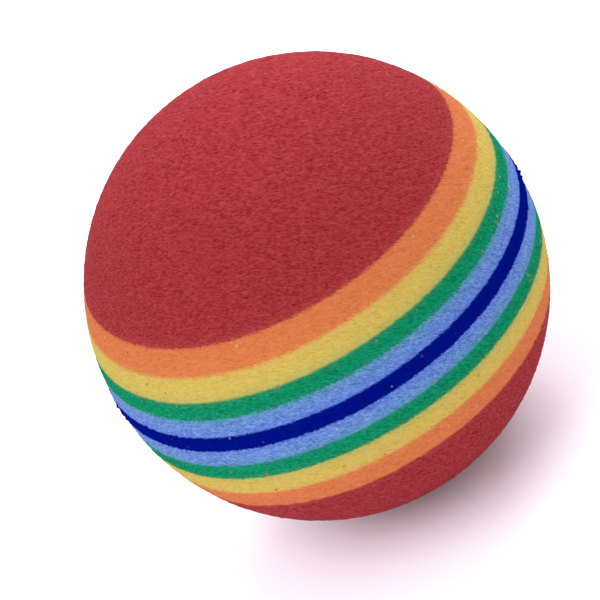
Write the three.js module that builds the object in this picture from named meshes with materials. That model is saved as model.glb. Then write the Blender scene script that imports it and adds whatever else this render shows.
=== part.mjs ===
// Juggling ball ground from a block of bonded foam sheets.
//
// Eleven foams are stacked along Z: a thick red block at each end and nine thin coloured sheets
// between them, mirrored about a dark blue sheet in the middle. A film of glue holds each pair of
// neighbours together. The bonded block was then ground round.
//
// Millimetres, +Z up, along the stack. The origin is the centre of the ball.

import * as THREE from 'three';

// Ground surface.
const BALL_RADIUS = 31.5; // over the red ends
const WAIST_FLATTENING = 0.45; // how much less the ball measures in radius at its middle

// Thickness of each foam sheet, between its two glued faces.
const ORANGE_SHEET = 3.6;
const YELLOW_SHEET = 3.4;
const GREEN_SHEET = 2.6;
const LIGHT_BLUE_SHEET = 2.7;
const DARK_BLUE_SHEET = 2.4;

// Glue.
const FILM_THICKNESS = 0.12;
const FILM_SETBACK = 0.4; // the film's edge lies this far inside the ground surface

// The middle of the sheets sits this far above the centre of the ball.
const STACK_OFFSET = 0.9;

// Fineness of the round surfaces.
const SEGMENTS_AROUND = 60;
const LARGEST_STEP_DEGREES = 5.5; // of latitude, along a ground edge

const FOAM_ROUGHNESS = 0.9;
const GLUE_ROUGHNESS = 0.45;

const COLOURS = {
  red: 0xab373d,
  orange: 0xdb7947,
  yellow: 0xd8ba5a,
  green: 0x16884f,
  lightBlue: 0x6f93d2,
  darkBlue: 0x03107c,
  glue: 0xd9cfae,
};

// The sheets from the top of the stack to its bottom, without the red ends.
const SHEETS = [
  { name: 'orange_layer_upper', thickness: ORANGE_SHEET, colour: COLOURS.orange },
  { name: 'yellow_layer_upper', thickness: YELLOW_SHEET, colour: COLOURS.yellow },
  { name: 'green_layer_upper', thickness: GREEN_SHEET, colour: COLOURS.green },
  { name: 'light_blue_layer_upper', thickness: LIGHT_BLUE_SHEET, colour: COLOURS.lightBlue },
  { name: 'dark_blue_layer_centre', thickness: DARK_BLUE_SHEET, colour: COLOURS.darkBlue },
  { name: 'light_blue_layer_lower', thickness: LIGHT_BLUE_SHEET, colour: COLOURS.lightBlue },
  { name: 'green_layer_lower', thickness: GREEN_SHEET, colour: COLOURS.green },
  { name: 'yellow_layer_lower', thickness: YELLOW_SHEET, colour: COLOURS.yellow },
  { name: 'orange_layer_lower', thickness: ORANGE_SHEET, colour: COLOURS.orange },
];

// Distance from the Z axis to the ground surface at height z. The surface is a sphere at the poles
// and lies WAIST_FLATTENING inside it at the equator.
function groundRadius(z) {
  const share = z / BALL_RADIUS;
  const sphere = BALL_RADIUS - WAIST_FLATTENING * (1 - share * share) ** 2;
  return Math.sqrt(Math.max(sphere * sphere - z * z, 0));
}

// Points along the ground surface from height bottom to height top, in even steps of latitude.
// The first and last heights are kept exactly, so that glued faces meet.
function groundEdge(bottom, top) {
  const from = Math.asin(bottom / BALL_RADIUS);
  const to = Math.asin(top / BALL_RADIUS);
  const steps = Math.max(2, Math.ceil(THREE.MathUtils.radToDeg(to - from) / LARGEST_STEP_DEGREES));
  const heights = [bottom];
  for (let i = 1; i < steps; i += 1) {
    heights.push(BALL_RADIUS * Math.sin(THREE.MathUtils.lerp(from, to, i / steps)));
  }
  heights.push(top);
  return heights.map((height) => new THREE.Vector2(groundRadius(height), height));
}

// Turns an outline of (radius, height) points about the Z axis.
function turned(outline) {
  const geometry = new THREE.LatheGeometry(outline, SEGMENTS_AROUND);
  geometry.rotateX(Math.PI / 2);
  return geometry;
}

// A foam between two heights. Its faces are flat and its edge is part of the ground surface.
function foamGeometry(bottom, top) {
  const outline = groundEdge(bottom, top);
  if (bottom > -BALL_RADIUS) {
    outline.unshift(new THREE.Vector2(0, bottom));
  }
  if (top < BALL_RADIUS) {
    outline.push(new THREE.Vector2(0, top));
  }
  return turned(outline);
}

// A glue film between two heights: a thin disc that stops short of the ground surface.
function filmGeometry(bottom, top) {
  const radius = groundRadius((bottom + top) / 2) - FILM_SETBACK;
  return turned([
    new THREE.Vector2(0, bottom),
    new THREE.Vector2(radius, bottom),
    new THREE.Vector2(radius, top),
    new THREE.Vector2(0, top),
  ]);
}

function foamMaterial(colour) {
  return new THREE.MeshStandardMaterial({ color: colour, roughness: FOAM_ROUGHNESS, metalness: 0 });
}

function glueMaterial() {
  return new THREE.MeshStandardMaterial({ color: COLOURS.glue, roughness: GLUE_ROUGHNESS, metalness: 0 });
}

function piece(name, geometry, material) {
  const mesh = new THREE.Mesh(geometry, material);
  mesh.name = name;
  return mesh;
}

// Height of the sheets with all their films, from one red end to the other.
function stackHeight() {
  const foam = SHEETS.reduce((sum, sheet) => sum + sheet.thickness, 0);
  return foam + (SHEETS.length + 1) * FILM_THICKNESS;
}

function buildBall() {
  const ball = new THREE.Group();
  let height = STACK_OFFSET + stackHeight() / 2;
  ball.add(piece('red_cap_upper', foamGeometry(height, BALL_RADIUS), foamMaterial(COLOURS.red)));

  let filmNumber = 0;
  const addFilm = () => {
    filmNumber += 1;
    const name = `bond_film_${String(filmNumber).padStart(2, '0')}`;
    ball.add(piece(name, filmGeometry(height - FILM_THICKNESS, height), glueMaterial()));
    height -= FILM_THICKNESS;
  };

  for (const sheet of SHEETS) {
    addFilm();
    const geometry = foamGeometry(height - sheet.thickness, height);
    ball.add(piece(sheet.name, geometry, foamMaterial(sheet.colour)));
    height -= sheet.thickness;
  }
  addFilm();
  ball.add(piece('red_cap_lower', foamGeometry(-BALL_RADIUS, height), foamMaterial(COLOURS.red)));
  return ball;
}

export default buildBall();
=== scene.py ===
"""Laminated foam juggling ball: the looks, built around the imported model.

Eleven foams replace their plain CAD solids with closed meshes whose ground edges have real grain:
strokes, cut cells, torn pits, burrs and ragged seams. The glue films between them stay as CAD made
them, with a glue material. The frame is in metres. Names that end in _MM or _mm, and all places and
heights from the ground surface to make_mesh(), are in millimetres.
"""

import math
from functools import cached_property

import bpy
import numpy as np
from mathutils import Matrix, Vector


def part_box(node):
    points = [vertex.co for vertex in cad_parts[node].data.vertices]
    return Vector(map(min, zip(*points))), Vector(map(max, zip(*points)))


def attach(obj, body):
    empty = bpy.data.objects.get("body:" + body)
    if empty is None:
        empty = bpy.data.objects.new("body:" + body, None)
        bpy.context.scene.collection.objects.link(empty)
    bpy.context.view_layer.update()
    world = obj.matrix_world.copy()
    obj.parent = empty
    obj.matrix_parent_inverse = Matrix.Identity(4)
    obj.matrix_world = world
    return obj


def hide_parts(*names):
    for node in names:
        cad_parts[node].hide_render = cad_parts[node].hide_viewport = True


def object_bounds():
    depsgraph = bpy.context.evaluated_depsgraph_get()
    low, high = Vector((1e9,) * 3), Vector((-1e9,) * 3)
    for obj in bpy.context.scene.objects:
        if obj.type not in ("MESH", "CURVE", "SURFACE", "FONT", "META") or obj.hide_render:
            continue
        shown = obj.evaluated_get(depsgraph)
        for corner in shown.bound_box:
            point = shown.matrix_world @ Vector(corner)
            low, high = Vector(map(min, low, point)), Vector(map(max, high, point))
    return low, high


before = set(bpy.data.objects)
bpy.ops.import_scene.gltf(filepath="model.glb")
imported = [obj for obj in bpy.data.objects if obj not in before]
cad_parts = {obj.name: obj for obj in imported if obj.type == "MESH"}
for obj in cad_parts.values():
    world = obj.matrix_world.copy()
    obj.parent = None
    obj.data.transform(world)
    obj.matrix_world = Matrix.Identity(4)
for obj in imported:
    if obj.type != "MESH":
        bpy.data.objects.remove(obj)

CAD_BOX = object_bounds()

MM = 0.001
SEED = 7

# ---------------------------------------------------------------- sizes

CAD_LOW = np.array(CAD_BOX[0], float) / MM
CAD_HIGH = np.array(CAD_BOX[1], float) / MM
POLE_RADIUS_MM = (CAD_HIGH[2] - CAD_LOW[2]) / 2
WAIST_FLATTENING_MM = POLE_RADIUS_MM - (CAD_HIGH[0] - CAD_LOW[0]) / 2

COLUMNS = 1080  # points around every ground edge, alike on all foams so that their seams meet
DOME_RINGS = COLUMNS // 6
ROW_STEP_MM = 0.17  # between the rows of a sheet's ground edge

SEAM_LIP_MM = 0.20  # how far a ragged seam reaches in from the ground surface
SEAM_FOOT_MM = 0.37  # where the flat glued face begins; the glue film starts just behind it

# Wander of the seams: the sheets are a little wavy, and grinding tears their edges.
SEAM_WAVE_MM = 0.10
SEAM_WAVE_LENGTH_MM = 17.0
SEAM_BLEND_MM = 0.55  # within this of a seam the two foams' reliefs run into each other

# The ball was ground while it turned on this axis, so the grain is drawn out in strokes round it.
GRIND_AXIS = (0.402, 0.488, 0.774)
STROKE_STRETCH = 3.4  # a stroke's length over its thickness

# Relief of the ground surface, shared by all foams. A stroke's size is its thickness.
LUMP_MM = 0.05
LUMP_LENGTH_MM = 9.0
STROKE_MM = 0.40
CELL_SPACING_MM = 0.42
PIT_SPACING_MM = 0.62
TEAR_MM = 0.36
BURR_SPACING_MM = 0.80
BURR_RADIUS_MM = 0.28
CELL_RIM = 0.9  # in spacings: a cut cell rises from its middle to here
CELL_LEVEL = 0.5  # in spacings: where its wall crosses the ground surface
PIT_SMALLEST, PIT_ROOM = 0.20, 0.22  # in spacings: the smallest pit's radius, and how much more
PIT_WALL = 0.7  # a power: below 1 makes a pit's wall steepest at its edge
BURR_LOWEST, BURR_ROOM = 0.4, 0.6  # the lowest burr's share of burr_mm, and how much more
GRAIN_FULL_MM = 0.07  # fine relief of this height counts as 1 in the attribute that the foam's painted shade and highlight follow

# What of a foam's look shapes its surface; the rest of the look colours it.
RELIEF = {
    "stroke_mm": 0.065,  # height of its strokes
    "cell_mm": 0.070,  # depth of the cut cells
    "pit_mm": 0.14,  # depth of torn-out pits
    "pit_share": 0.26,
    "burr_mm": 0.15,  # height of loose crumbs of its own that still hang on
    "burr_share": 0.06,
    "stand_mm": 0.0,  # how far it stands out of the ball, because it springs back after grinding
    "tear_mm": 0.04,  # raggedness of its seams
}


# What of a foam's look colours it, besides its colours.
SURFACE = {
    "grain": 0.25,  # how much painted shade in the relief's hollows and painted highlight on its raised parts its tone takes from the mesh's relief
    "speckle": 0.80,  # how much its tone follows the finer grit: random speckle, painted darker as shade where the grit's bump is low and paler as highlight where it is high
    "sheen": 0.04,
    "gloss": 0.02,
    "crumbs": 0.8,  # how strongly stray crumbs of other foams show on it
    "soft_mm": 0.34,  # how gradually its colour goes over into a neighbour's
    "ragged_mm": 0.12,  # how far that border wanders with the strokes
    "dust": {},  # how much of a neighbour's powder, by its name, is ground into it at their seam
}


def foam(colour, dark, light, **look):
    """A foam's look: its colour, the colour down in its pores, darker there as painted shade, and the colour
    where it is raised, paler there as painted highlight.

    powder, the colour of its dust, is the raised colour unless it is given.
    """
    return {"colour": colour, "dark": dark, "light": light, "powder": light, **RELIEF, **SURFACE, **look}


# Each foam: its own colour, its colour in its pores darkened as painted shade, and its colour where raised
# made paler as painted highlight.
FOAMS = {
    "red": foam((0.304, 0.0250, 0.0308), (0.198, 0.0096, 0.0133), (0.367, 0.0450, 0.0525),
                burr_share=0.08, crumbs=0.0, soft_mm=0.28, dust={"orange": 0.05}),
    "orange": foam((0.590, 0.163, 0.0542), (0.446, 0.102, 0.0283), (0.650, 0.216, 0.0866),
                   stroke_mm=0.085, cell_mm=0.05, pit_mm=0.08, pit_share=0.16, grain=0.24, speckle=0.42,
                   soft_mm=0.38, dust={"red": 0.05, "yellow": 0.04}),
    "yellow": foam((0.550, 0.406, 0.0830), (0.417, 0.292, 0.0483), (0.605, 0.470, 0.125),
                   stroke_mm=0.085, cell_mm=0.05, pit_mm=0.08, pit_share=0.16, grain=0.24, speckle=0.44,
                   soft_mm=0.38, dust={"green": 0.20, "orange": 0.10}),
    "green": foam((0.0010, 0.208, 0.0885), (0.0003, 0.119, 0.0475), (0.0040, 0.300, 0.145),
                  pit_share=0.36, speckle=0.72, sheen=0.02, gloss=0.0, soft_mm=0.24,
                  dust={"yellow": 0.02, "light_blue": 0.04}),
    "light_blue": foam((0.102, 0.210, 0.535), (0.056, 0.122, 0.325), (0.195, 0.295, 0.590),
                       pit_share=0.44, stand_mm=-0.05, grain=0.35, speckle=0.85, sheen=0.12,
                       dust={"green": 0.24, "dark_blue": 0.17}),
    "dark_blue": foam((0.0005, 0.0046, 0.179), (0.0003, 0.0025, 0.125), (0.0010, 0.0075, 0.225),
                      pit_share=0.20, stand_mm=0.05, burr_mm=0.45, burr_share=0.70, tear_mm=0.07,
                      speckle=0.4, sheen=0.0, gloss=0.0, soft_mm=0.15, ragged_mm=0.13,
                      powder=(0.02, 0.07, 0.75)),
}

for foam_name, foam_look in FOAMS.items():
    foam_look["name"] = foam_name


def colour_of(node):
    """The foam that a node is cut from, such as light_blue for light_blue_layer_upper."""
    return max((name for name in FOAMS if node.startswith(name)), key=len)


# ---------------------------------------------------------------- noise

# Large odd numbers and shifts that scramble a place and a seed.
PLACE_FACTORS = (73856093, 19349663, 83492791)
SEED_FACTOR = 668265263
SCRAMBLES = ((15, 739982445), (12, 695872825))
LAST_SHIFT = 15
LARGEST = 0xFFFFFFFF


def lattice_numbers(cell, seed):
    """One pseudo-random whole number of 32 bits for each whole-numbered place."""
    mixed = seed * SEED_FACTOR
    for axis, factor in enumerate(PLACE_FACTORS):
        mixed = mixed ^ cell[..., axis] * factor
    mixed = mixed & LARGEST
    for shift, factor in SCRAMBLES:
        mixed = (mixed ^ mixed >> shift) * factor & LARGEST
    return mixed ^ mixed >> LAST_SHIFT


def lattice_units(cell, seed):
    """One number from 0 to 1 for each whole-numbered place."""
    return lattice_numbers(cell, seed) / LARGEST


CORNERS = np.array([(i, j, k) for i in (0, 1) for j in (0, 1) for k in (0, 1)])
SLOPES = np.array([(1, 1, 0), (-1, 1, 0), (1, -1, 0), (-1, -1, 0), (1, 0, 1), (-1, 0, 1), (1, 0, -1),
                   (-1, 0, -1), (0, 1, 1), (0, -1, 1), (0, 1, -1), (0, -1, -1)], float)


def waves(places, length, seed):
    """Smooth noise of about -1 to 1 whose lumps are about length apart."""
    at = places / length
    cell = np.floor(at).astype(np.int64)
    within = at - cell
    ease = within ** 3 * (within * (within * 6 - 15) + 10)
    total = np.zeros(len(places))
    for corner in CORNERS:
        slope = SLOPES[lattice_numbers(cell + corner, seed) % len(SLOPES)]
        share = np.prod(np.where(corner, ease, 1 - ease), axis=1)
        total += share * np.einsum("ij,ij->i", slope, within - corner)
    return total


POINT_MARGIN, POINT_ROOM = 0.15, 0.7  # where in its cell of the lattice a scattered point lies
TOO_FAR = 9.0  # in spacings: further than any nearest point


def scattered(places, spacing, seed):
    """For the nearest of many scattered points: its distance, and a number of its own from 0 to 1."""
    at = places / spacing
    base = np.floor(at - 0.5).astype(np.int64)
    nearest = np.full(len(places), TOO_FAR)
    own = np.zeros(len(places))
    for corner in CORNERS:
        cell = base + corner
        jitter = np.stack([lattice_units(cell, seed + axis) for axis in range(3)], 1)
        away = np.linalg.norm(cell + POINT_MARGIN + POINT_ROOM * jitter - at, axis=1)
        closer = away < nearest
        nearest[closer] = away[closer]
        own[closer] = lattice_units(cell[closer], seed + 3)
    return nearest * spacing, own


# ---------------------------------------------------------------- the ground surface

TURNS = np.arange(COLUMNS) * 2 * math.pi / COLUMNS
ROUND = np.stack([np.cos(TURNS), np.sin(TURNS)], 1)


def ground_radius(height):
    """Distance from the Z axis to the smooth ground surface, in mm."""
    share = np.clip(height / POLE_RADIUS_MM, -1, 1)
    sphere = POLE_RADIUS_MM - WAIST_FLATTENING_MM * (1 - share ** 2) ** 2
    return np.sqrt(np.maximum(sphere ** 2 - height ** 2, 0))


def turned_frame(axis):
    """Three directions at right angles, the last of them along axis, as rows."""
    along = np.array(axis) / np.linalg.norm(axis)
    across = np.cross(along, (0, 0, 1))
    across /= np.linalg.norm(across)
    return np.stack([across, np.cross(along, across), along])


GRIND_FRAME = turned_frame(GRIND_AXIS)
STROKE_SCALE = np.array([STROKE_STRETCH, STROKE_STRETCH, 1.0])


def drawn_out(places):
    """places in the grinding's frame, shrunk along the strokes, so that noise on them comes out long."""
    return places @ GRIND_FRAME.T / STROKE_SCALE


def fine_relief(places, look):
    """How far the grain stands out of the ground surface, in mm, at these places."""
    drawn = drawn_out(places)
    out = look["stroke_mm"] * waves(drawn, STROKE_MM, SEED + 10)
    away, own = scattered(drawn, CELL_SPACING_MM, SEED + 20)
    out += look["cell_mm"] * (np.clip(away / CELL_SPACING_MM, 0, CELL_RIM) - CELL_LEVEL)
    away, own = scattered(drawn, PIT_SPACING_MM, SEED + 30)
    radius = PIT_SPACING_MM * (PIT_SMALLEST + PIT_ROOM * own / look["pit_share"])
    pit = np.clip(1 - away / radius, 0, 1) ** PIT_WALL
    out -= look["pit_mm"] * pit * (own < look["pit_share"])
    away, own = scattered(places, BURR_SPACING_MM, SEED + 40)
    burr = np.clip(1 - away / BURR_RADIUS_MM, 0, 1)
    height = BURR_LOWEST + BURR_ROOM * own / look["burr_share"]
    out += look["burr_mm"] * burr * (own < look["burr_share"]) * height
    return out


def blended(look, neighbour, share):
    """The surface part of a look, gone share of the way to the neighbour's. share may be one per point."""
    return {key: look[key] + (neighbour[key] - look[key]) * share for key in RELIEF}


def blend_share(from_seam):
    """Half at a seam, where both foams share one surface, and none from SEAM_BLEND_MM away."""
    near = np.clip(1 - from_seam / SEAM_BLEND_MM, 0, 1)
    return 0.5 * near * near * (3 - 2 * near)


def seam_height(level, tear_mm):
    """Height in mm of the ragged seam near height level, for every column."""
    radius = ground_radius(level)
    places = np.hstack([ROUND * radius, np.full((COLUMNS, 1), level)])
    wave = SEAM_WAVE_MM * waves(places, SEAM_WAVE_LENGTH_MM, SEED + 50)
    tear = waves(drawn_out(places), TEAR_MM, SEED + 60)
    return level + wave + tear_mm * tear


def placed(turns, heights, look):
    """Points on the ground surface of a foam, in mm, at these angles and heights, with their grain."""
    smooth = ground_radius(heights)
    places = np.stack([smooth * np.cos(turns), smooth * np.sin(turns), heights], 1)
    fine = fine_relief(places, look)
    out = LUMP_MM * waves(places, LUMP_LENGTH_MM, SEED) + fine + look["stand_mm"]
    middle = np.linalg.norm(places, axis=1)
    return places * (1 + out / middle)[:, None], fine / GRAIN_FULL_MM


# ---------------------------------------------------------------- meshes

# The field with each point's distance in mm from the seam below (-1) or above (1) its foam.
SEAM_FIELDS = {-1: "from_lower_seam", 1: "from_upper_seam"}


def make_mesh(name, points, fields, faces, face_uvs, rims):
    """A mesh object from points in mm, faces, and a map place for each face corner.

    fields are named numbers for every point, that its material reads. Each rim, a ring of COLUMNS
    points from one of the numbers rims, is a sharp edge.
    """
    mesh = bpy.data.meshes.new(name)
    mesh.from_pydata((points * MM).tolist(), [], faces)
    layer = mesh.uv_layers.new(name="OFBake")
    layer.uv.foreach_set("vector", np.asarray(face_uvs, np.float32).ravel())
    for field, values in fields.items():
        mesh.attributes.new(field, "FLOAT", "POINT").data.foreach_set("value", values.astype(np.float32))
    mesh.shade_smooth()
    ends = np.zeros(2 * len(mesh.edges), np.int32)
    mesh.edges.foreach_get("vertices", ends)
    sharp = np.zeros(len(mesh.edges), bool)
    for rim in rims:
        sharp |= ((ends >= rim) & (ends < rim + COLUMNS)).reshape(-1, 2).all(axis=1)
    mesh.attributes.new("sharp_edge", "BOOLEAN", "EDGE").data.foreach_set("value", sharp)
    piece = bpy.data.objects.new(name, mesh)
    bpy.context.scene.collection.objects.link(piece)
    return piece


def seam_rings(rim, face_height):
    """Two rings that lead in from a ragged rim to the flat glued face."""
    reach = np.linalg.norm(rim[:, :2], axis=1, keepdims=True)
    lip = np.hstack([rim[:, :2] * (1 - SEAM_LIP_MM / reach), rim[:, 2:]])
    foot_radius = ground_radius(face_height) - SEAM_FOOT_MM
    foot = np.hstack([ROUND * foot_radius, np.full((COLUMNS, 1), face_height)])
    return lip, foot


def ring_quads(lower, upper):
    """Quads between two rings that start at these point numbers, facing out where upper is higher."""
    here = np.arange(COLUMNS)
    after = (here + 1) % COLUMNS
    return np.stack([lower + here, lower + after, upper + after, upper + here], 1)


def dome_faces():
    """Triangles that join DOME_RINGS rings of 6, 12, 18 ... points round point 0."""
    found = []
    start = 0
    for ring in range(DOME_RINGS):
        inner_count = max(6 * ring, 1)
        outer_start = start + inner_count
        outer_count = 6 * (ring + 1)
        step = np.arange(ring + 1)
        for side in range(6):
            inner = start + (side * ring + step) % inner_count
            outer = outer_start + (side * (ring + 1) + step) % outer_count
            after = outer_start + (side * (ring + 1) + step + 1) % outer_count
            found.append(np.stack([inner, outer, after], 1))
            found.append(np.stack([inner[:-1], after[:-1], inner[1:]], 1))
        start = outer_start
    return np.concatenate(found)


DOME_MAP_CENTRE = np.array([0.455, 0.545])
DOME_MAP_RADIUS = 0.435
LIP_MAP_WIDTH = 0.006
FACE_MAP_RADIUS = 0.085
DOME_FACE_MAP = (1 - 1.3 * FACE_MAP_RADIUS, 1.3 * FACE_MAP_RADIUS)  # middle of the glued face's map
RIM_SHARE = 0.05  # of the way from rim to pole, where the rings bend to follow the ragged rim


def dome_piece(name, node, look, neighbour, seam_level, sign):
    """A red end block: a ground dome, closed by its flat glued face. sign is 1 for the upper one."""
    low, high = (np.array(corner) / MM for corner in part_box(node))
    face_height = low[2] if sign > 0 else high[2]
    rim_heights = seam_height(seam_level, (look["tear_mm"] + neighbour["tear_mm"]) / 2)
    seam_angle = math.acos(sign * seam_level / POLE_RADIUS_MM)
    rim_angles = np.arccos(sign * rim_heights / POLE_RADIUS_MM) - seam_angle

    counts = [1] + [6 * ring for ring in range(1, DOME_RINGS + 1)]
    ring = np.repeat(np.arange(DOME_RINGS + 1), counts)
    place = np.concatenate([np.arange(count) / count for count in counts])
    turns = place * 2 * math.pi
    share = ring / DOME_RINGS
    near_rim = np.clip((share - (1 - RIM_SHARE)) / RIM_SHARE, 0, 1)
    column = np.round(place * COLUMNS).astype(int) % COLUMNS
    angle = share * seam_angle + rim_angles[column] * near_rim ** 2
    heights = sign * POLE_RADIUS_MM * np.cos(angle)
    from_seam = (seam_angle - share * seam_angle) * POLE_RADIUS_MM
    surface, grain = placed(turns, heights, blended(look, neighbour, blend_share(from_seam)))

    rim_start = len(surface) - COLUMNS
    lip_start = len(surface)
    foot_start = lip_start + COLUMNS
    points = np.concatenate([surface, *seam_rings(surface[rim_start:], face_height)])
    grain = np.concatenate([grain, grain[rim_start:], grain[rim_start:]])
    from_seam = np.concatenate([from_seam, np.zeros(2 * COLUMNS)])
    fields = {"grain": grain, SEAM_FIELDS[-sign]: from_seam}

    skin = dome_faces()
    # These rings go inwards from the rim, so the lower number is the upper ring's here.
    edge = np.concatenate([ring_quads(lip_start, rim_start), ring_quads(foot_start, lip_start)])
    end = foot_start + np.arange(COLUMNS)[::-1]
    reach = np.concatenate([share * DOME_MAP_RADIUS,
                            np.full(COLUMNS, DOME_MAP_RADIUS + LIP_MAP_WIDTH),
                            np.full(COLUMNS, DOME_MAP_RADIUS + 2 * LIP_MAP_WIDTH)])
    around = np.concatenate([turns, TURNS, TURNS])
    on_map = DOME_MAP_CENTRE + reach[:, None] * np.stack([np.cos(around), np.sin(around)], 1)
    end_map = DOME_FACE_MAP + FACE_MAP_RADIUS * ROUND[::-1]
    if sign < 0:
        skin, edge, end, end_map = skin[:, ::-1], edge[:, ::-1], end[::-1], end_map[::-1]
    faces = skin.tolist() + edge.tolist() + [end.tolist()]
    uvs = np.concatenate([on_map[skin.ravel()], on_map[edge.ravel()], end_map])
    return make_mesh(name, points, fields, faces, uvs, (rim_start, lip_start, foot_start))


STRIP_COUNTS = (4, 5, 6, 8, 9)  # each divides COLUMNS
STRIP_AREA_SHARE = 0.78  # of the map, for a sheet's ground edge; its two glued faces have the rest
STRIP_MARGIN = 0.01
SHEET_FACE_MAPS = (0.2, 0.6)  # how far across the map the middles of the two glued faces lie


def strip_maps(ring_count, height_mm, circumference_mm):
    """Map places of a sheet's ground edge, cut into strips that lie one above another."""
    strips = max(n for n in STRIP_COUNTS if n * n * height_mm <= STRIP_AREA_SHARE * circumference_mm)
    per_strip = COLUMNS // strips
    columns = np.arange(COLUMNS)
    width = (1 - 2 * STRIP_MARGIN) / per_strip
    left = STRIP_MARGIN + columns % per_strip * width
    tall = STRIP_AREA_SHARE / strips
    base = STRIP_MARGIN / 2 + columns // per_strip * tall
    step = (tall - STRIP_MARGIN) / (ring_count - 1)
    maps = []
    for i in range(ring_count - 1):
        lower, upper = base + i * step, base + (i + 1) * step
        corners = [(left, lower), (left + width, lower), (left + width, upper), (left, upper)]
        maps.append(np.stack([np.stack(corner, 1) for corner in corners], 1).reshape(-1, 2))
    return maps


def layer_piece(name, node, look, neighbours, levels):
    """A foam sheet: a ground edge between two ragged seams, closed by its two flat glued faces.

    neighbours are the looks of the foams below and above, and levels the heights of those seams.
    """
    low, high = (np.array(corner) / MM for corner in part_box(node))
    bottom, top = [seam_height(level, (look["tear_mm"] + neighbour["tear_mm"]) / 2)
                   for neighbour, level in zip(neighbours, levels)]
    tall = levels[1] - levels[0]
    rows = math.ceil(tall / ROW_STEP_MM)
    rings, grains = [], []
    climb = np.arange(rows + 1) / rows
    for up in climb:
        surface = blended(look, neighbours[0], blend_share(up * tall))
        surface = blended(surface, neighbours[1], blend_share((1 - up) * tall))
        points, grain = placed(TURNS, bottom * (1 - up) + top * up, surface)
        rings.append(points)
        grains.append(grain)
    low_lip, low_foot = seam_rings(rings[0], low[2])
    high_lip, high_foot = seam_rings(rings[-1], high[2])
    rings = [low_foot, low_lip] + rings + [high_lip, high_foot]
    grains = [grains[0]] * 2 + grains + [grains[-1]] * 2
    from_below = np.repeat(np.concatenate([[0, 0], climb, [1, 1]]) * tall, COLUMNS)
    fields = {"grain": np.concatenate(grains), SEAM_FIELDS[-1]: from_below,
              SEAM_FIELDS[1]: tall - from_below}
    quads = [ring_quads(i * COLUMNS, (i + 1) * COLUMNS) for i in range(len(rings) - 1)]
    last = (len(rings) - 1) * COLUMNS
    ends = [np.arange(COLUMNS)[::-1].tolist(), (last + np.arange(COLUMNS)).tolist()]
    uvs = strip_maps(len(rings), tall, 2 * math.pi * ground_radius(sum(levels) / 2))
    face_level = (1 + STRIP_AREA_SHARE) / 2 + STRIP_MARGIN / 2
    for across, outline in zip(SHEET_FACE_MAPS, (ROUND[::-1], ROUND)):
        uvs.append((across, face_level) + FACE_MAP_RADIUS * outline)
    faces = np.concatenate(quads).tolist() + ends
    rims = [ring * COLUMNS for ring in (0, 1, 2, rows + 2, rows + 3, rows + 4)]
    return make_mesh(name, np.concatenate(rings), fields, faces, np.concatenate(uvs), rims)


# ---------------------------------------------------------------- materials

NOISE_GAIN = 8.0  # spreads a noise that keeps near 0.5 to about -1 to 1
CELL_GAIN = 4.0
SMALLEST_SPOT = 0.5  # of the largest one's radius
SPOT_SHIFT = (1.0, 1.3, 1.9)  # the way in which an offset moves the pattern of spots


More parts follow.
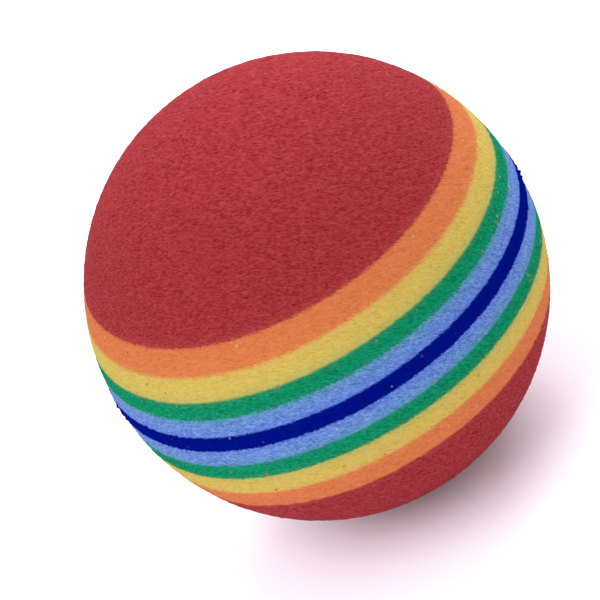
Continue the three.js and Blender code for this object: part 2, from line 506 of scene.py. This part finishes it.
class Nodes:
    """A material's node tree, with a short way to add each kind of node."""

    def __init__(self, name):
        self.material = bpy.data.materials.new(name)
        self.material.use_nodes = True
        self.tree = self.material.node_tree
        self.shader = self.tree.nodes["Principled BSDF"]

    @cached_property
    def place(self):
        """The place on the piece, in the row frame."""
        return self.tree.nodes.new("ShaderNodeTexCoord").outputs["Object"]

    @cached_property
    def drawn(self):
        """The place as drawn_out() turns and shrinks it."""
        drawing = self.tree.nodes.new("ShaderNodeMapping")
        drawing.vector_type = "TEXTURE"
        drawing.inputs["Rotation"].default_value = Matrix(GRIND_FRAME.T.tolist()).to_euler()
        drawing.inputs["Scale"].default_value = STROKE_SCALE
        self.tree.links.new(self.place, drawing.inputs["Vector"])
        return drawing.outputs[0]

    def link(self, source, target):
        if isinstance(source, bpy.types.NodeSocket):
            self.tree.links.new(source, target)
        else:
            target.default_value = source

    def math(self, operation, *values, clamp=False):
        node = self.tree.nodes.new("ShaderNodeMath")
        node.operation = operation
        node.use_clamp = clamp
        for value, socket in zip(values, node.inputs):
            self.link(value, socket)
        return node.outputs[0]

    def ramp(self, value, low, high, to_low=0.0, to_high=1.0):
        node = self.tree.nodes.new("ShaderNodeMapRange")
        node.interpolation_type = "SMOOTHSTEP"
        for source, target in zip((value, low, high, to_low, to_high), node.inputs):
            self.link(source, target)
        return node.outputs[0]

    def noise(self, size_mm, detail=2.0, roughness=0.55, drawn=False):
        """Cloudy noise of about -1 to 1 with lumps of about size_mm, or strokes of that thickness."""
        node = self.tree.nodes.new("ShaderNodeTexNoise")
        node.inputs["Scale"].default_value = 1 / (size_mm * MM)
        node.inputs["Detail"].default_value = detail
        node.inputs["Roughness"].default_value = roughness
        self.tree.links.new(self.drawn if drawn else self.place, node.inputs["Vector"])
        return self.math("MULTIPLY_ADD", node.outputs["Fac"], NOISE_GAIN, -NOISE_GAIN / 2)

    def span(self, value, low, high):
        """value's way from low to high, from 0 to 1."""
        node = self.tree.nodes.new("ShaderNodeMapRange")
        for source, target in zip((value, low, high), node.inputs):
            self.link(source, target)
        return node.outputs[0]

    def cells(self, spacing_mm):
        """Distance from the nearest drawn-out cell's middle, as about -1 to 1."""
        node = self.tree.nodes.new("ShaderNodeTexVoronoi")
        node.inputs["Scale"].default_value = 1 / (spacing_mm * MM)
        self.tree.links.new(self.drawn, node.inputs["Vector"])
        return self.math("MULTIPLY_ADD", node.outputs["Distance"], CELL_GAIN, -CELL_GAIN / 2)

    def spots(self, spacing_mm, share, radius, offset=0.0):
        """Round spots: 1 in the middle of a share of many scattered points, 0 from radius spacings away."""
        where = self.tree.nodes.new("ShaderNodeMapping")
        where.inputs["Location"].default_value = [offset * shift for shift in SPOT_SHIFT]
        self.tree.links.new(self.place, where.inputs["Vector"])
        node = self.tree.nodes.new("ShaderNodeTexVoronoi")
        node.inputs["Scale"].default_value = 1 / (spacing_mm * MM)
        self.tree.links.new(where.outputs[0], node.inputs["Vector"])
        split = self.tree.nodes.new("ShaderNodeSeparateColor")
        self.tree.links.new(node.outputs["Color"], split.inputs[0])
        chosen = self.math("LESS_THAN", split.outputs[0], share)
        least = SMALLEST_SPOT * radius
        size = self.math("MULTIPLY_ADD", split.outputs[1], radius - least, least)
        near = self.ramp(node.outputs["Distance"], 0.0, size, 1.0, 0.0)
        return self.math("MULTIPLY", chosen, near)

    def attribute(self, name):
        node = self.tree.nodes.new("ShaderNodeAttribute")
        node.attribute_name = name
        return node.outputs["Fac"]

    def mix(self, share, first, second):
        node = self.tree.nodes.new("ShaderNodeMix")
        node.data_type = "RGBA"
        self.link(share, node.inputs["Factor"])
        for colour, socket in ((first, node.inputs["A"]), (second, node.inputs["B"])):
            self.link(colour if isinstance(colour, bpy.types.NodeSocket) else (*colour, 1.0), socket)
        return node.outputs["Result"]

    def bump(self, height, distance_mm):
        node = self.tree.nodes.new("ShaderNodeBump")
        node.inputs["Strength"].default_value = 1.0
        node.inputs["Distance"].default_value = distance_mm * MM
        self.tree.links.new(height, node.inputs["Height"])
        self.tree.links.new(node.outputs[0], self.shader.inputs["Normal"])


# Grit too fine for the mesh: strokes of this thickness, and among them cut cells.
GRIT_STROKE_MM = 0.16
GRIT_STROKE_DETAIL = 3.0
GRIT_STROKE_ROUGHNESS = 0.8
GRIT_CELL_MM = 0.24
GRIT_CELL_SHARE = 0.4
GRIT_HEIGHT_MM = 0.045

DUST_REACH_MM = 2.1  # how far a neighbour's dust is dragged over a seam
DUST_CLOUD_MM = 0.45
DUST_CLOUD_SHARE = 0.25  # how uneven the dust is

ROUGHNESS_DEEP, ROUGHNESS_RAISED = 1.0, 0.82
SHEEN_ROUGHNESS = 0.4
SHEEN_WHITE = 0.4  # how far the sheen's tint goes from the foam's own colour to white

CRUMBS = (  # stray grains of other foams: colour, and the share of CRUMB_SPACING_MM's points
    ((0.420, 0.060, 0.060), 0.24),
    ((0.090, 0.045, 0.030), 0.22),
    ((0.560, 0.420, 0.170), 0.12),
)
CRUMB_SPACING_MM = 1.8
CRUMB_RADIUS = 0.22  # in spacings
FIRST_CRUMB_OFFSET, NEXT_CRUMB_OFFSET = 0.1, 0.07  # keep each colour's crumbs in places of their own

# Pale flecks of the foam's own colour, where a raised scrap catches the light.
FLECK_SPACING_MM = 1.0
FLECK_SHARE = 0.22
FLECK_RADIUS = 0.16  # in spacings
FLECK_LIFT = 0.09
FLECK_STRENGTH = 0.75


def relief_shaded_tone(nodes, look, level):
    """A foam's tone where its grain is at level: -1 is deep, painted darker as shade, 1 is raised, painted
    paler as highlight.
    """
    tone = nodes.mix(nodes.span(level, 0.0, -1.0), look["colour"], look["dark"])
    return nodes.mix(nodes.span(level, 0.0, 1.0), tone, look["light"])


def dusted(nodes, tone, share, other, near, cloud):
    """tone with the dust of the other foam on it, where near goes from 0 to 1 at their seam."""
    amount = nodes.math("MULTIPLY", nodes.math("MULTIPLY", near, near), cloud)
    return nodes.mix(nodes.math("MULTIPLY", amount, share, clamp=True), tone, other["powder"])


def foam_material(name, look, neighbours):
    """Ground closed-cell foam. neighbours are (look, side) of the foams glued to it."""
    nodes = Nodes(name)
    stroke = nodes.noise(GRIT_STROKE_MM, GRIT_STROKE_DETAIL, GRIT_STROKE_ROUGHNESS, drawn=True)
    cells = nodes.cells(GRIT_CELL_MM)
    cloud = nodes.math("MULTIPLY_ADD", nodes.noise(DUST_CLOUD_MM), DUST_CLOUD_SHARE, 1.0)

    # Painted shade and highlight: the tone is darker where the relief is low and paler where it is raised,
    # broken up by the grit, which is also the bump's height.
    grit = nodes.math("MULTIPLY_ADD", cells, GRIT_CELL_SHARE, stroke)
    level = nodes.math("MULTIPLY", nodes.attribute("grain"), look["grain"])
    level = nodes.math("MULTIPLY_ADD", grit, look["speckle"], level)
    tone = relief_shaded_tone(nodes, look, level)
    for neighbour, side in neighbours:
        distance = nodes.attribute(SEAM_FIELDS[side])
        near = nodes.ramp(distance, DUST_REACH_MM, 0.0)
        tone = dusted(nodes, tone, look["dust"].get(neighbour["name"], 0), neighbour, near, cloud)
        # Where they meet, the two foams' torn edges lie over each other: half and half at the seam.
        over = dusted(nodes, relief_shaded_tone(nodes, neighbour, level), neighbour["dust"].get(look["name"], 0),
                      look, 1.0, cloud)
        ragged = max(look["ragged_mm"], neighbour["ragged_mm"])
        soft = min(look["soft_mm"], neighbour["soft_mm"])
        torn = nodes.math("MULTIPLY_ADD", stroke, side * ragged, distance)
        tone = nodes.mix(nodes.ramp(torn, soft, -soft), tone, over)
    flecks = nodes.spots(FLECK_SPACING_MM, FLECK_SHARE, FLECK_RADIUS)
    pale = [FLECK_LIFT + channel for channel in look["light"]]
    tone = nodes.mix(nodes.math("MULTIPLY", flecks, FLECK_STRENGTH), tone, pale)
    for i, (colour, share) in enumerate(CRUMBS):
        offset = FIRST_CRUMB_OFFSET + NEXT_CRUMB_OFFSET * i
        crumbs = nodes.spots(CRUMB_SPACING_MM, share, CRUMB_RADIUS, offset)
        tone = nodes.mix(nodes.math("MULTIPLY", crumbs, look["crumbs"]), tone, colour)
    nodes.link(tone, nodes.shader.inputs["Base Color"])

    roughness = nodes.ramp(level, -1.0, 1.0, ROUGHNESS_DEEP, ROUGHNESS_RAISED)
    nodes.link(roughness, nodes.shader.inputs["Roughness"])
    nodes.shader.inputs["Specular IOR Level"].default_value = look["gloss"]
    nodes.shader.inputs["Sheen Weight"].default_value = look["sheen"]
    nodes.shader.inputs["Sheen Roughness"].default_value = SHEEN_ROUGHNESS
    tint = [SHEEN_WHITE + (1 - SHEEN_WHITE) * channel for channel in look["light"]]
    nodes.shader.inputs["Sheen Tint"].default_value = (*tint, 1.0)
    nodes.bump(grit, GRIT_HEIGHT_MM)
    return nodes.material


GLUE_COLOURS = ((0.60, 0.50, 0.30), (0.76, 0.70, 0.52))  # where the coat is thick and where it is thin
GLUE_ROUGHNESSES = (0.35, 0.6)
GLUE_BLOTCH_MM = 2.5
GLUE_BLOTCH_SPREAD = 1.5  # the wider, the softer the blotches' edges
GLUE_STIPPLE_MM = 0.5
GLUE_STIPPLE_HEIGHT_MM = 0.004


def glue_material():
    """Cured contact adhesive: satin, amber, stippled where it was rolled on."""
    nodes = Nodes("bond_glue")
    blotch = nodes.noise(GLUE_BLOTCH_MM, detail=4.0)
    blotch = nodes.ramp(blotch, -GLUE_BLOTCH_SPREAD, GLUE_BLOTCH_SPREAD)
    nodes.link(nodes.mix(blotch, *GLUE_COLOURS), nodes.shader.inputs["Base Color"])
    nodes.link(nodes.ramp(blotch, 0.0, 1.0, *GLUE_ROUGHNESSES), nodes.shader.inputs["Roughness"])
    nodes.bump(nodes.noise(GLUE_STIPPLE_MM, detail=3.0), GLUE_STIPPLE_HEIGHT_MM)
    return nodes.material


# ---------------------------------------------------------------- the ball

def build_stack():
    """Replaces each foam node by its detailed piece, from the top of the stack to its bottom."""
    foams = [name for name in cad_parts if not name.startswith("bond_film")]
    foams.sort(key=lambda name: -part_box(name)[0].z)
    seams = [(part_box(upper)[0].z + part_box(lower)[1].z) / 2 / MM for upper, lower in zip(foams, foams[1:])]
    for i, node in enumerate(foams):
        look = FOAMS[colour_of(node)]
        below = [(colour_of(foams[i + 1]), seams[i], -1)] if i < len(seams) else []
        above = [(colour_of(foams[i - 1]), seams[i - 1], 1)] if i else []
        glued_to = below + above
        looks = [FOAMS[colour] for colour, level, side in glued_to]
        levels = [level for colour, level, side in glued_to]
        name = node + "_ground"
        if len(glued_to) == 2:
            piece = layer_piece(name, node, look, looks, levels)
        else:
            piece = dome_piece(name, node, look, looks[0], levels[0], -glued_to[0][2])
        touching = [(FOAMS[colour], side) for colour, level, side in glued_to]
        piece.data.materials.append(foam_material(name, look, touching))
        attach(piece, "root")
        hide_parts(node)


def coat_films():
    """The glue films stay as CAD made them, and get the glue's material."""
    glue = glue_material()
    for name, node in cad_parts.items():
        if name.startswith("bond_film"):
            node.data.materials.clear()
            node.data.materials.append(glue)


build_stack()
coat_films()

# ---------------------------------------------------------------- stage, light and camera

CAMERA_ELEVATION = math.radians(32.23)
CAMERA_ROLL = math.radians(31.77)
CAMERA_DISTANCE = 0.94
PICTURE_WIDTH = 0.08026  # of the plane through the ball's centre that the picture takes in
BALL_RIGHT = 0.00227  # how far the ball's centre lies to the right of the picture's middle
BALL_UP = 0.00187
SENSOR_WIDTH = 36.0

FLOOR_HALF = 4.0
FLOOR_COLOUR = (0.91, 0.865, 0.955, 1.0)
FLOOR_ROUGHNESS = 0.85
FLOOR_GLOSS = 0.1

WHITE = (1.0, 1.0, 1.0)
SKY_STRENGTH = 1.2
SOFTBOX_DISTANCE = 1.0
SOFTBOX_SIZE = 0.7
SOFTBOXES = {  # direction from the ball, and power in watts
    "back": ((0.46, 0.61, 0.643), 7.5),
    "top": ((-0.47, -0.40, 0.788), 5.0),
}


def aim(obj, place, right, up):
    """Puts a camera or light at place, with its picture's right and up in these directions."""
    back = right.cross(up)
    turn = Matrix((right, up, back)).transposed().to_4x4()
    obj.matrix_world = Matrix.Translation(place) @ turn


def add_camera():
    level = Vector((1, 0, 0))
    raised = Vector((0, math.sin(CAMERA_ELEVATION), math.cos(CAMERA_ELEVATION)))
    right = level * math.cos(CAMERA_ROLL) - raised * math.sin(CAMERA_ROLL)
    up = level * math.sin(CAMERA_ROLL) + raised * math.cos(CAMERA_ROLL)
    back = right.cross(up)
    data = bpy.data.cameras.new("camera")
    data.sensor_width = SENSOR_WIDTH
    data.lens = SENSOR_WIDTH * CAMERA_DISTANCE / PICTURE_WIDTH
    camera = bpy.data.objects.new("camera", data)
    bpy.context.scene.collection.objects.link(camera)
    aim(camera, back * CAMERA_DISTANCE - right * BALL_RIGHT - up * BALL_UP, right, up)
    bpy.context.scene.camera = camera


def add_floor():
    level = CAD_BOX[0][2]
    sides = ((-1, -1), (1, -1), (1, 1), (-1, 1))
    corners = [(FLOOR_HALF * across, FLOOR_HALF * along, level) for across, along in sides]
    mesh = bpy.data.meshes.new("floor")
    mesh.from_pydata(corners, [], [(0, 1, 2, 3)])
    nodes = Nodes("floor")
    nodes.shader.inputs["Base Color"].default_value = FLOOR_COLOUR
    nodes.shader.inputs["Roughness"].default_value = FLOOR_ROUGHNESS
    nodes.shader.inputs["Specular IOR Level"].default_value = FLOOR_GLOSS
    mesh.materials.append(nodes.material)
    floor = bpy.data.objects.new("floor", mesh)
    bpy.context.scene.collection.objects.link(floor)


def add_softbox(name, towards, power):
    """A square soft light that faces the ball from direction towards."""
    data = bpy.data.lights.new(name, "AREA")
    data.size = SOFTBOX_SIZE
    data.energy = power
    data.color = WHITE
    light = bpy.data.objects.new(name, data)
    bpy.context.scene.collection.objects.link(light)
    back = Vector(towards).normalized()
    right = Vector((0, 1, 0)).cross(back).normalized()
    aim(light, back * SOFTBOX_DISTANCE, right, back.cross(right))


def add_light():
    world = bpy.data.worlds.new("studio")
    world.use_nodes = True
    sky = world.node_tree.nodes["Background"]
    sky.inputs["Color"].default_value = (*WHITE, 1.0)
    sky.inputs["Strength"].default_value = SKY_STRENGTH
    bpy.context.scene.world = world
    for name, (towards, power) in SOFTBOXES.items():
        add_softbox(name, towards, power)


add_camera()
add_floor()
add_light()
bpy.context.scene.view_settings.view_transform = "Standard"
